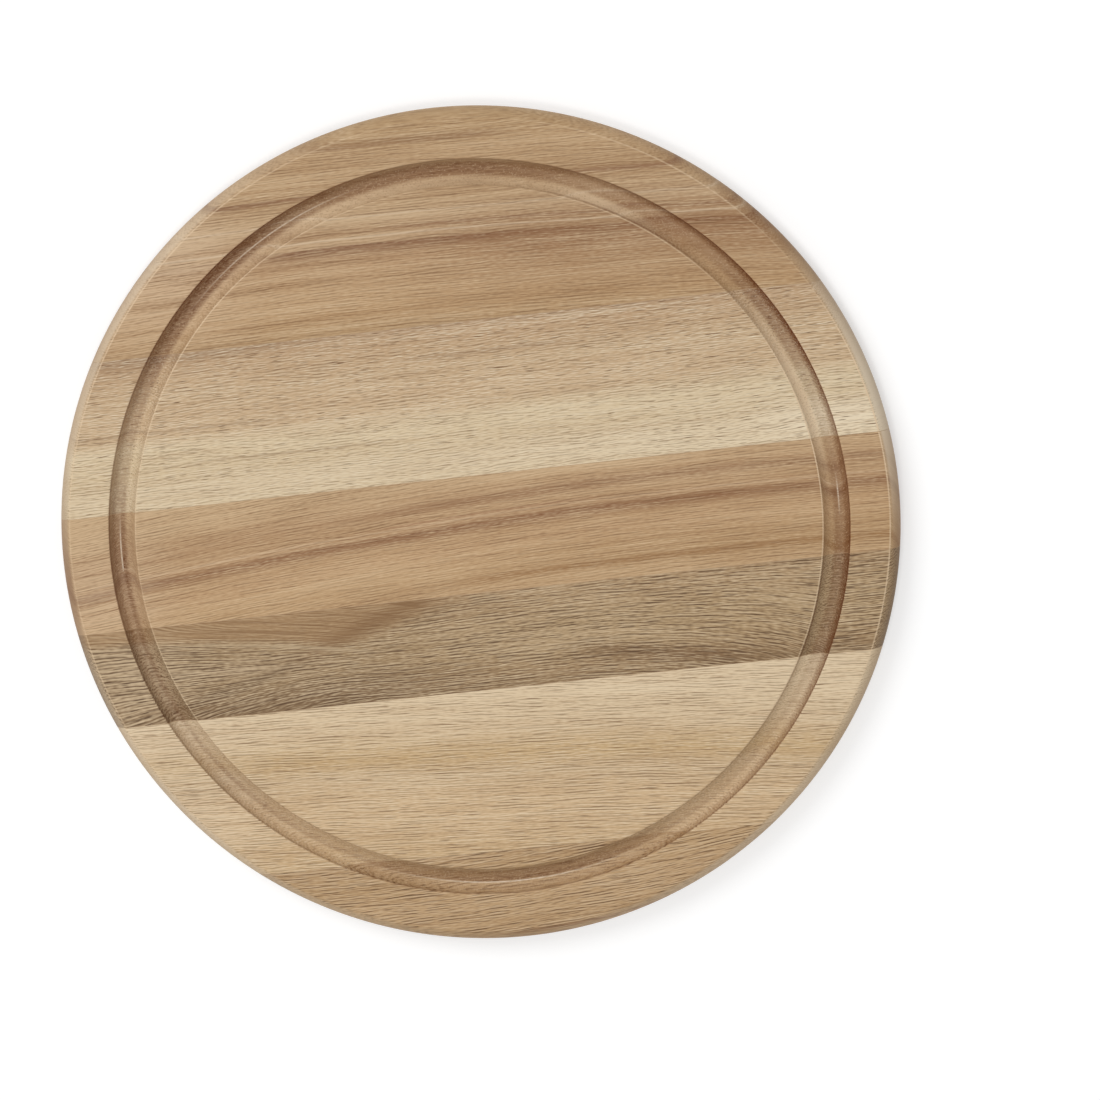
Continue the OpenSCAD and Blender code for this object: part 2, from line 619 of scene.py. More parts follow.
@dataclass(frozen=True)
class WoodFinish:
    """The oiled wood of one stave: its tones across the grain, growth lines, pores and streaks.

    Sizes are in millimetres, and each value named deep counts a layer's grains in a millimetre of depth.
    """

    slot: str
    seed: float
    tones: tuple[tuple[float, Tone], ...]
    dark: Tone
    pale: Tone
    slope: float = 0.0
    bow: float = 0.0
    dip: float = 0.4
    twist: float = 0.0
    wander: float = 1.4
    wander_length: float = 85.0
    wander_width: float = 21.0
    wander_depth: float = 30.0
    band_length: float = 170.0
    band_width: float = 5.5
    band_deep: float = 0.12
    line_length: float = 80.0
    line_width: float = 1.7
    line_deep: float = 0.4
    line_rough: float = 0.55
    thread_length: float = 5.0
    thread_width: float = 0.4
    thread_deep: float = 1.6
    hair_length: float = 10.0
    hair_width: float = 0.55
    hair_deep: float = 2.0
    hair_from: float = 0.06
    hair_full: float = 0.22
    fibre_length: float = 2.4
    fibre_width: float = 0.42
    fibre_deep: float = 2.0
    cloud_length: float = 28.0
    cloud_width: float = 8.0
    cloud_depth: float = 9.0
    speck_length: float = 0.7
    speck_width: float = 0.6
    bands: float = 0.7
    lines: float = 1.1
    threads: float = 1.2
    hairs: float = 0.45
    fibres: float = 0.9
    mottle: float = 0.4
    glint: float = 0.45
    calmed: float = 0.8
    calmed_shade: float = 0.55
    calmed_hairs: float = 0.5
    end_from: float = 0.35
    end_full: float = 0.95
    end_shade: float = 0.25
    rim_shade: float = 0.3
    pores: tuple[Pores, ...] = (Pores(),)
    pore_shift: float = 5.0
    streaks: tuple[Streak, ...] = ()
    wear_and_light: WearAndLight = WearAndLight()
    roughness: float = 0.56
    fibre_rough: float = 0.12
    pore_rough: float = 0.1
    groove_smooth: float = 0.06
    polish_smooth: float = 0.38
    specular: float = 0.22
    relief: float = 0.35
    relief_height: float = 0.12 * MM
    fibre_relief: float = 0.3
    hair_relief: float = 0.4

    def grain_height(self, place: Place) -> Signal:
        """Straighten the grain: a number in millimetres that stays the same along a growth line.

        Args:
            place: the place in the stave.

        Returns:
            Place across the grain.
        """
        along = place.x / HUNDRED_MM
        path = (along * self.bow + self.slope) * along
        lean = (along * self.twist + self.dip) * place.depth
        return place.y - path - lean + self.sway(place)

    def sway(self, place: Place) -> Signal:
        """Give the slow waver of the grain, in millimetres, at a place in the stave."""
        deep = place.depth / self.wander_depth + self.seed
        cloud = place.noise(self.wander_length, self.wander_width, deep, 1.5)
        return (cloud - 0.5) * (2.0 * self.wander)

    def level(self, place: Place, height: Signal) -> Signal:
        """Give the place across the stave that its tones and streaks go by."""
        return height

    def figure(self, wood: object, place: Place) -> object:
        """Paint what only this kind of cut shows, which is nothing on a plain stave."""
        return wood

    def clear(self, place: Place) -> Optional[Signal]:
        """Say where the wood has few pores, if it has such a place."""
        return None

    def crisp(self, grain: Place, length: float, width: float) -> Signal:
        """Give fine lines without the wider waves between them.

        Args:
            grain: along the stave, across the grain, and the depth in grains.
            length: how long a line is in millimetres.
            width: how wide it is.

        Returns:
            A number round zero, low on a dark line and high on a pale one.
        """
        shifted = [grain._replace(y=grain.y + shift) for shift in (0.0, width, -width)]
        line, above, below = [there.noise(length, width, there.depth, 0.5) for there in shifted]
        return line - (above + below) * 0.5

    def colour(self, place: Place, calm: Signal) -> tuple[object, Signal, Signal]:
        """Paint the plain wood, before the marks and the painted light and shade of the turned details.

        Args:
            place: the place in the stave.
            calm: high where cutting across the fibres leaves calmer grain, and zero on the faces.

        Returns:
            The colour, how open the pores are there, and the fine fibre.
        """
        graph, depth, seed = place.graph, place.depth, self.seed
        grain = place._replace(y=self.grain_height(place))
        level = self.level(place, grain.y)
        bands = grain.noise(self.band_length, self.band_width, depth * self.band_deep + seed, 1.0)
        growing = depth * self.line_deep - seed
        growth = grain.noise(self.line_length, self.line_width, growing, 2.0, self.line_rough)
        threads = grain._replace(depth=depth * self.thread_deep + seed)
        thread = self.crisp(threads, self.thread_length, self.thread_width)
        hairs = grain._replace(depth=depth * self.hair_deep - seed)
        hair = self.crisp(hairs, self.hair_length, self.hair_width)
        fibre = grain.noise(self.fibre_length, self.fibre_width, depth * self.fibre_deep + seed, 0.0)
        cloud = place.noise(self.cloud_length, self.cloud_width, depth / self.cloud_depth + seed, 2.0)
        low, high = self.tones[0][0], self.tones[-1][0]
        across = (level - low) / (high - low)
        wood = graph.ramp(across, [((at - low) / (high - low), tone) for at, tone in self.tones])
        broken = ((growth - 0.5) * 1.6 + thread * 1.2 + 0.85).kept()
        for streak in self.streaks:
            wood = graph.paint(wood, linear(streak.tone), streak.share(place.x, level) * broken)
        shade = (bands - 0.5) * self.bands + (growth - 0.5) * self.lines
        shade = shade + thread * (cloud * 1.4 + 0.3) * self.threads
        shade = shade + (fibre - 0.5) * self.fibres + (cloud - 0.5) * self.mottle
        shade = shade * (1.0 - calm * self.calmed_shade)
        wood = graph.paint(wood, linear(self.pale), shade.kept())
        wood = graph.paint(wood, linear(self.dark), (shade * -1.0).kept())
        lively = 1.0 - calm * self.calmed_hairs
        shine = hair.ease(self.hair_from, self.hair_full) * lively
        wood = graph.paint(wood, linear(self.pale), shine * (self.glint * self.hairs))
        bunch = (1.7 - growth * 1.2 - cloud * 0.9).kept() * lively
        line = hair.ease(-self.hair_from, -self.hair_full) * bunch
        wood = graph.paint(wood, linear(self.pores[0].tone), line * self.hairs)
        wood = self.figure(wood, place)
        holes = line * self.hair_relief
        for number, pores in enumerate(self.pores):
            shown = self.vessels(pores, number, grain, across, cloud)
            clear = self.clear(place)
            if clear is not None:
                shown = shown * (1.0 - clear)
            wood = graph.paint(wood, linear(pores.tone), shown * pores.strength)
            holes = graph.math("MAXIMUM", holes, shown)
        return wood, holes, fibre

    def vessels(self, pores: Pores, number: int, grain: Place, across: Signal, cloud: Signal) -> Signal:
        """Scatter one size of pores along the grain.

        Args:
            pores: their size and number.
            number: which of the stave's sizes this is.
            grain: along the stave, across the grain and below the face.
            across: place across the stave from its front edge to its back edge.
            cloud: soft noise that bunches the pores.

        Returns:
            One inside a pore, zero between pores.
        """
        deep = grain.depth / pores.width + (self.seed + self.pore_shift * number)
        distance, lot = grain.graph.cells(grain.x / pores.length, grain.y / pores.width, deep)
        return distance.ease(pores.rim, pores.core) * pores.opened(grain.x, across, cloud, lot)

    def marked(self, wood: object, place: Place, zones: Zones, fibre: Signal) -> tuple[object, Signal]:
        """Paint burn and oil marks, painted shade, painted highlights and painted light on the groove and
        the rim.

        Args:
            wood: the colour so far.
            place: the place in the stave.
            zones: where the turned details lie.
            fibre: the fine fibre, which breaks the marks up.

        Returns:
            The colour, and where the wood is glossy and carries the painted highlight.
        """
        graph, turning, wear_and_light = place.graph, zones.turning, self.wear_and_light
        # The fine fibre breaks up the painted shade and the burn and oil marks below.
        broken_by_fibre = fibre * wear_and_light.fibre_breakup + wear_and_light.least_breakup
        # Painted light: lighten the upper inner slope of the groove.
        wood = graph.paint(wood, linear(wear_and_light.edge), zones.slope() * zones.arcs(wear_and_light.painted_lit_slope))
        # Darken the groove floor and the front slope: painted shade mixed with oil darkening.
        oil_and_shade = zones.floor() * (zones.arcs(wear_and_light.oiled_and_shaded_floor) + wear_and_light.all_round)
        oil_and_shade = oil_and_shade + zones.descent() * zones.arcs(wear_and_light.oiled_and_shaded_front)
        wood = graph.paint(wood, linear(wear_and_light.oil_and_shade), oil_and_shade * broken_by_fibre)
        # Darken the outer wall, the inner lip and the outer lip: painted shade mixed with burn marks.
        burn_and_shade = zones.wall() * (zones.arcs(wear_and_light.burnt_and_shaded_lip) + wear_and_light.all_round)
        burn_and_shade = burn_and_shade + zones.line(turning.inner_lip + 0.45, reach=0.5) * zones.arcs(wear_and_light.shaded_inner_lip)
        burn_and_shade = burn_and_shade + zones.line(turning.outer_lip, reach=0.45) * wear_and_light.outer_lip_shade
        wood = graph.paint(wood, linear(wear_and_light.burn_and_shade), burn_and_shade * broken_by_fibre)
        specks = place.noise(self.speck_length, self.speck_width, zones.height + self.seed, 1.0)
        pale = specks.ease(wear_and_light.pale_from, wear_and_light.pale_full) * zones.groove
        wood = graph.paint(wood, linear(self.pale), pale * wear_and_light.pale_specks)
        dark = specks.ease(wear_and_light.dark_from, wear_and_light.dark_full) * zones.groove
        wood = graph.paint(wood, linear(self.dark), dark * wear_and_light.dark_specks)
        # Painted shade on the rim's shoulder.
        wood = graph.paint(wood, linear(wear_and_light.oil_and_shade), zones.shoulder * zones.arcs(wear_and_light.shaded_rim))
        # Painted light on the rim's shoulder.
        wood = graph.paint(wood, linear(wear_and_light.rim_light_tone), zones.shoulder * zones.arcs(wear_and_light.lit_rim))
        # Pale lines on the inner lip and the crease: painted highlight mixed with edge wear.
        edges = zones.line(turning.inner_lip - 0.25, reach=0.4)
        edges = edges + zones.line(turning.face_radius, reach=0.5)
        wood = graph.paint(wood, linear(wear_and_light.edge), edges * zones.arcs(wear_and_light.bright) * (fibre * 0.8 + 0.4))
        # Painted highlight: a thin pale line just inside the low line, in the glossy arcs; the same mask
        # lowers the roughness.
        gloss_and_highlight = zones.line(turning.low_line - 0.2, reach=0.42) * zones.arcs(wear_and_light.glossy)
        return graph.paint(wood, linear(wear_and_light.highlight_tone), gloss_and_highlight * (fibre * 1.3)), gloss_and_highlight

    def material(self, turning: Turning) -> bpy.types.Material:
        """Make the finish as a material.

        Args:
            turning: where the turned details of the board lie.

        Returns:
            The material.
        """
        made, graph, shader = start_material(self.slot)
        x, y, z = graph.place()
        place = Place(x, y, turning.thickness - z)
        zones = Zones(turning, x, y, z)
        wood, holes, fibre = self.colour(place, zones.rim * self.calmed + zones.groove * self.calmed)
        end = abs(graph.facing()[0]).ease(self.end_from, self.end_full)
        wood = graph.paint(wood, linear(self.dark), end * (zones.rim * self.rim_shade + self.end_shade))
        # Burn and oil marks, painted shade, painted highlights and painted light go on here.
        wood, gloss_and_highlight = self.marked(wood, place, zones, fibre)
        graph.feed(shader.inputs["Base Color"], wood)
        rough = (fibre - 0.5) * self.fibre_rough + holes * self.pore_rough
        smooth = zones.groove * self.groove_smooth + gloss_and_highlight * self.polish_smooth
        graph.feed(shader.inputs["Roughness"], rough - smooth + self.roughness)
        shader.inputs["Specular IOR Level"].default_value = self.specular
        bump = graph.add("ShaderNodeBump")
        bump.inputs["Strength"].default_value = self.relief
        bump.inputs["Distance"].default_value = self.relief_height
        graph.feed(bump.inputs["Height"], fibre * self.fibre_relief - holes)
        graph.feed(shader.inputs["Normal"], bump.outputs[0])
        return made


@dataclass(frozen=True)
class CathedralFinish(WoodFinish):
    """Flat-sawn wood: growth lines nest into arches, and a smooth lens lies along the back seam."""

    axis: float = -43.0
    spread: float = 0.4
    spread_from: float = -50.0
    spread_full: float = -165.0
    fall: float = 0.4
    fall_from: float = 30.0
    back_seam: float = -22.0
    thinned: float = 0.6
    drawn: float = 1.5
    sharpened: float = 1.2
    thin_left: tuple[float, float] = (-70.0, -125.0)
    thin_right: tuple[float, float] = (85.0, 135.0)
    brow_from: float = -160.0
    brow_high: float = -29.0
    brow_fall: float = -9.0
    rear_from: float = -60.0
    rear_low: float = -39.5
    rear_rise: float = 0.344
    brow_fade: tuple[float, float] = (-1.5, 2.5)
    rear_fade: tuple[float, float] = (-5.0, 6.0)
    lens_length: float = 60.0
    lens_width: float = 1.0
    lens_deep: float = 0.5
    lens_rough: float = 0.6
    lens_cover: float = 0.55
    lens_fade: tuple[float, float] = (0.52, 0.36)
    lens_left: tuple[float, float] = (-140.0, -50.0)
    rear_ring: tuple[float, float] = (4.0, 6.0)
    rear_left: tuple[float, float] = (-90.0, -50.0)
    rear_right: tuple[float, float] = (-8.0, -25.0)
    edge_ring: tuple[float, float] = (-1.6, 1.3)
    edge_left: tuple[float, float] = (-130.0, -110.0)
    edge_right: tuple[float, float] = (-40.0, -60.0)
    lens_tone: Tone = (168, 133, 94)
    lens_line: Tone = (124, 90, 56)
    lens_edge: Tone = (200, 176, 142)
    few_pores: float = 0.7

    def brow(self, x: Signal) -> Signal:
        """Give the lens's front edge, in millimetres across the board, where it falls to the right."""
        along = (x - self.brow_from) / HUNDRED_MM
        return along * along * self.brow_fall + self.brow_high

    def rear(self, x: Signal) -> Signal:
        """Give the lens's other front edge, where it rises to the back seam."""
        return (x - self.rear_from) * self.rear_rise + self.rear_low

    def lens(self, x: Signal, y: Signal) -> Signal:
        """Say where the smooth lens lies: one inside, zero outside."""
        return (y - self.brow(x)).ease(*self.brow_fade) * (y - self.rear(x)).ease(*self.rear_fade)

    def grain_height(self, place: Place) -> Signal:
        """Straighten the grain: it fans out from an axis to the left and falls away to the right.

        Args:
            place: the place in the stave.

        Returns:
            Place across the grain.
        """
        x, y, depth = place
        fan = x.ease(self.spread_full, self.spread_from) * (1.0 - self.spread) + self.spread
        right = ((x - self.fall_from) / HUNDRED_MM).kept()
        drop = right * right * (self.back_seam - y) * self.fall
        return (y - self.axis) * fan + drop - depth * self.dip + self.sway(place)

    def level(self, place: Place, height: Signal) -> Signal:
        """Give the place across the stave that its tones and streaks go by."""
        return place.y

    def crisp(self, grain: Place, length: float, width: float) -> Signal:
        """Give fine lines that stay thin where the grain spreads out towards the ends.

        Args:
            grain: along the stave, across the grain, and the depth in grains.
            length: how long a line is in millimetres.
            width: how wide it is.

        Returns:
            A number round zero, low on a dark line and high on a pale one.
        """
        middle = super().crisp(grain, length, width)
        thin = super().crisp(grain, length * self.drawn, width * self.thinned) * self.sharpened
        ends = grain.x.ease(*self.thin_left) + grain.x.ease(*self.thin_right)
        return middle + (thin - middle) * ends

    def figure(self, wood: object, place: Place) -> object:
        """Paint the smooth lens with its own grain, its pale front edge and its brown rear edge.

        Args:
            wood: the colour so far.
            place: the place in the stave.

        Returns:
            The colour with the lens.
        """
        graph = place.graph
        x, y, depth = place
        lens = self.lens(x, y)
        inside = y - self.brow(x)
        deep = depth * self.lens_deep + self.seed
        within = place._replace(y=inside)
        grain = within.noise(self.lens_length, self.lens_width, deep, 2.0, self.lens_rough)
        wood = graph.paint(wood, linear(self.lens_tone), lens * self.lens_cover)
        lines = grain.ease(*self.lens_fade) * lens
        wood = graph.paint(wood, linear(self.lens_line), lines * (x.ease(*self.lens_left) * 0.4 + 0.3))
        rear = (y - self.rear(x)).ring(*self.rear_ring) * x.ease(*self.rear_left) * x.ease(*self.rear_right)
        wood = graph.paint(wood, linear(self.lens_line), rear * self.lens_cover)
        edge = inside.ring(*self.edge_ring) * x.ease(*self.edge_left) * x.ease(*self.edge_right)
        return graph.paint(wood, linear(self.lens_edge), edge * grain)

    def clear(self, place: Place) -> Optional[Signal]:
        """Say where the wood has few pores: inside the lens."""
        return self.lens(place.x, place.y) * self.few_pores


@dataclass(frozen=True)
class GlueFinish:
    """The thin honey-coloured film of glue in a seam."""

    slot: str = "wood_glue"
    film: Tone = (150, 116, 80)
    thin: Tone = (186, 154, 116)
    patch_size: float = 12.0
    patch_depth: float = 6.0
    roughness: float = 0.35
    patch_rough: float = 0.2

    def material(self, turning: Turning) -> bpy.types.Material:
        """Make the finish as a material.

        Args:
            turning: where the turned details of the board lie.

        Returns:
            The material.
        """
        made, graph, shader = start_material(self.slot)
        x, y, z = graph.place()
        place = Place(x, y, turning.thickness - z)
        patchy = place.noise(self.patch_size, self.patch_size, place.depth / self.patch_depth, 2.0)
        graph.feed(shader.inputs["Base Color"], graph.paint(linear(self.film), linear(self.thin), patchy))
        graph.feed(shader.inputs["Roughness"], patchy * self.patch_rough + self.roughness)
        return made


TAN_STREAKED = WoodFinish(
    slot="tan_streaked_acacia",
    seed=11.0,
    tones=(
        (83.0, (177, 144, 105)),
        (90.0, (184, 149, 109)),
        (97.0, (189, 155, 116)),
        (104.0, (186, 152, 114)),
        (110.0, (184, 149, 112)),
        (117.0, (190, 158, 122)),
        (121.0, (176, 142, 106)),
        (126.0, (197, 167, 131)),
        (130.0, (186, 154, 117)),
        (136.0, (173, 139, 102)),
        (142.0, (185, 152, 114)),
        (150.0, (185, 152, 114)),
        (156.0, (178, 145, 106)),
        (162.0, (183, 151, 112)),
    ),
    dark=(136, 99, 64),
    pale=(213, 186, 150),
    slope=-1.3,
    bow=-1.8,
    bands=1.05,
    lines=1.3,
    threads=1.1,
    thread_length=9.0,
    streaks=(
        Streak(115.2, 5.0, 1.0, (122, 80, 54), 0.95, start=-70.0),
        Streak(115.2, 4.0, 1.0, (130, 90, 64), 0.55, end=-85.0),
        Streak(112.0, 26.0, 24.0, (134, 90, 52), 0.6, start=5.0, fade=40.0),
        Streak(120.0, 60.0, 45.0, (220, 192, 160), 0.48, end=-86.0, fade=18.0),
        Streak(110.0, 5.0, 5.0, (138, 98, 66), 0.45, start=20.0, fade=25.0),
        Streak(121.0, 1.6, 1.0, (136, 98, 70), 0.75, start=-20.0),
        Streak(136.0, 2.2, 0.8, (122, 80, 56), 0.8, end=-45.0),
        Streak(136.0, 2.2, 1.2, (132, 92, 66), 0.7, start=50.0),
        Streak(153.3, 1.0, 4.5, (136, 100, 70), 0.7, start=-50.0, end=25.0),
        Streak(118.3, 0.8, 0.8, (214, 190, 160), 0.7),
        Streak(126.6, 0.8, 0.6, (214, 190, 160), 0.7),
    ),
    pores=(Pores(length=14.0, width=0.5, front=0.12, back=0.16, bunching=0.4, strength=0.5),),
)

PALE_FLECKED = WoodFinish(
    slot="pale_flecked_acacia",
    seed=23.0,
    tones=(
        (23.0, (217, 195, 160)),
        (30.0, (215, 193, 159)),
        (38.0, (211, 188, 152)),
        (46.0, (219, 198, 163)),
        (52.0, (203, 175, 139)),
        (58.0, (203, 174, 138)),
        (66.0, (199, 170, 134)),
        (74.0, (194, 163, 127)),
        (80.0, (188, 156, 121)),
        (83.0, (178, 148, 117)),
    ),
    dark=(158, 126, 94),
    pale=(232, 216, 188),
    slope=0.6,
    lines=1.0,
    threads=1.4,
    thread_length=4.0,
    hair_length=6.0,
    hairs=0.5,
    wander=1.8,
    pores=Pores(
        length=12.0,
        width=0.52,
        front=0.25,
        back=0.65,
        left=0.1,
        right=0.3,
        bunching=0.6,
        strength=1.0,
        tone=(104, 72, 42),
    ).and_smaller(length=8.0, width=0.48),
    streaks=(
        Streak(82.0, 5.0, 3.0, (146, 114, 84), 0.5, end=-55.0, fade=20.0),
        Streak(53.8, 1.2, 0.9, (120, 88, 60), 0.45, end=-75.0),
        Streak(40.6, 0.8, 0.7, (130, 98, 68), 0.55, start=-100.0, end=-35.0),
        Streak(71.0, 1.5, 1.5, (132, 100, 72), 0.45, start=-20.0, end=45.0),
        Streak(28.0, 14.0, 14.0, (232, 214, 182), 0.55, start=10.0, fade=50.0),
        Streak(28.0, 14.0, 14.0, (242, 226, 198), 0.5, start=118.0, fade=14.0),
    ),
)

RED_TAN = WoodFinish(
    slot="red_tan_acacia",
    seed=37.0,
    tones=(
        (-28.0, (190, 157, 118)),
        (-18.0, (186, 152, 112)),
        (-12.0, (189, 155, 115)),
        (-5.0, (190, 155, 116)),
        (1.0, (185, 150, 111)),
        (6.5, (179, 143, 106)),
        (9.0, (185, 151, 113)),
        (14.0, (180, 145, 108)),
        (19.0, (189, 156, 118)),
        (23.0, (196, 165, 127)),
    ),
    dark=(140, 101, 66),
    pale=(215, 186, 148),
    slope=4.43,
    bow=-2.38,
    dip=0.1,
    twist=-0.95,
    wander=1.0,
    bands=0.95,
    lines=1.2,
    thread_length=8.0,
    streaks=(
        Streak(4.0, 5.0, 2.2, (126, 82, 50), 1.0),
        Streak(6.9, 0.8, 0.8, (214, 186, 152), 0.5),
        Streak(8.0, 0.7, 0.7, (146, 100, 72), 0.5, start=-40.0, end=45.0),
        Streak(13.5, 3.6, 2.8, (138, 100, 70), 0.65, start=-35.0, fade=30.0),
        Streak(-18.0, 3.0, 2.0, (144, 102, 58), 0.7, start=-5.0),
        Streak(-14.0, 16.0, 12.0, (150, 110, 66), 0.25, start=10.0, fade=50.0),
        Streak(0.0, 45.0, 45.0, (222, 196, 164), 0.4, end=-128.0, fade=16.0),
    ),
    pores=(Pores(length=14.0, width=0.5, front=0.14, back=0.1, bunching=0.4, strength=0.5),),
)

GREY_BROWN = CathedralFinish(
    slot="grey_brown_acacia",
    seed=53.0,
    tones=(
        (-64.0, (142, 116, 84)),
        (-57.0, (159, 130, 95)),
        (-48.0, (174, 146, 109)),
        (-38.0, (176, 148, 111)),
        (-30.0, (172, 143, 107)),
        (-22.0, (166, 136, 101)),
    ),
    dark=(100, 73, 46),
    pale=(208, 184, 150),
    lines=1.4,
    threads=1.9,
    hairs=1.0,
    fibres=1.4,
    line_length=50.0,
    thread_length=6.0,
    wander=1.6,
    streaks=(
        Streak(-44.0, 40.0, 40.0, (110, 81, 51), 0.38, end=-10.0, fade=50.0),
        Streak(-43.0, 45.0, 45.0, (204, 180, 148), 0.5, end=-126.0, fade=14.0),
        Streak(-43.0, 7.0, 6.0, (196, 172, 140), 0.55, start=-135.0, end=-75.0, fade=25.0),
        Streak(-57.0, 12.0, 11.0, (104, 80, 57), 0.5, start=-125.0, end=-30.0, fade=25.0),
        Streak(-42.0, 11.0, 11.0, (192, 166, 130), 0.4, start=-20.0, end=65.0, fade=25.0),
        Streak(-43.6, 6.0, 5.0, (112, 80, 50), 0.7, start=35.0, end=100.0, fade=20.0, tilt=-16.0),
        Streak(-25.8, 4.0, 3.0, (100, 76, 52), 0.6, start=-122.0, end=-78.0, fade=12.0, tilt=24.0),
    ),
    pores=Pores(
        length=15.0,
        width=0.6,
        front=0.4,
        back=0.2,
        left=0.6,
        right=0.6,
        bunching=0.5,
        strength=0.8,
        tone=(84, 60, 40),
    ).and_smaller(length=10.0, width=0.55, back=0.25, strength=0.75),
)

CREAM = WoodFinish(
    slot="cream_acacia",
    seed=67.0,
    tones=(
        (-128.0, (202, 171, 130)),
        (-115.0, (207, 177, 138)),
        (-105.0, (208, 178, 139)),
        (-95.0, (202, 174, 137)),
        (-88.0, (199, 168, 124)),
        (-78.0, (211, 185, 149)),
        (-70.0, (219, 195, 160)),
        (-62.0, (221, 198, 164)),
    ),
    dark=(154, 120, 84),
    pale=(232, 212, 180),
    slope=-6.5,
    bow=-1.0,
    bands=0.5,
    lines=0.9,
    threads=1.4,
    thread_length=6.0,
    hairs=0.7,
    pores=Pores(
        length=26.0, width=0.6, front=0.5, back=0.15, bunching=0.5, strength=0.85, tone=(104, 72, 42)
    ).and_smaller(length=14.0, width=0.54, back=0.2, strength=0.8),
    streaks=(Streak(-95.0, 70.0, 70.0, (234, 214, 184), 0.35, end=-106.0, fade=18.0),),
)

TAN_PLAIN = WoodFinish(
    slot="tan_plain_acacia",
    seed=83.0,
    tones=(
        (-166.0, (172, 137, 98)),
        (-158.0, (183, 150, 110)),
        (-145.0, (189, 156, 116)),
        (-135.0, (185, 152, 111)),
        (-127.0, (178, 145, 106)),
    ),
    dark=(134, 100, 68),
    pale=(212, 186, 152),
    slope=5.0,
    bow=4.0,
    lines=1.5,
    threads=1.7,
    hairs=1.0,
    pores=Pores(
        length=16.0, width=0.6, front=0.45, back=0.45, strength=0.85, tone=(88, 61, 38)
    ).and_smaller(length=10.0, width=0.54, front=0.4, strength=0.8),
    streaks=(Streak(-161.0, 2.0, 2.0, (140, 96, 68), 0.6, start=0.0),),
)


class Cut(Enum):
    """Which side of a parting plane is thrown away."""

    BEHIND = "clear_outer"
    IN_FRONT = "clear_inner"


def only(piece: bpy.types.Object) -> None:
    """Make one object the only selected and active one.

    Args:
        piece: the object.
    """
    bpy.ops.object.select_all(action="DESELECT")
    piece.select_set(True)
    bpy.context.view_layer.objects.active = piece


def pick_edges(piece: bpy.types.Object, wanted: Callable[[Vector, Vector], bool]) -> None:
    """Select edges by their place, in edit mode.

    Args:
        piece: the object in edit mode.
        wanted: says of an edge's two ends whether it is picked.
    """
    bpy.ops.mesh.select_mode(type="EDGE")
    bpy.ops.mesh.select_all(action="DESELECT")
    work = bmesh.from_edit_mesh(piece.data)
    for edge in [edge for edge in work.edges if wanted(edge.verts[0].co, edge.verts[1].co)]:
        edge.select_set(True)
    bmesh.update_edit_mesh(piece.data)


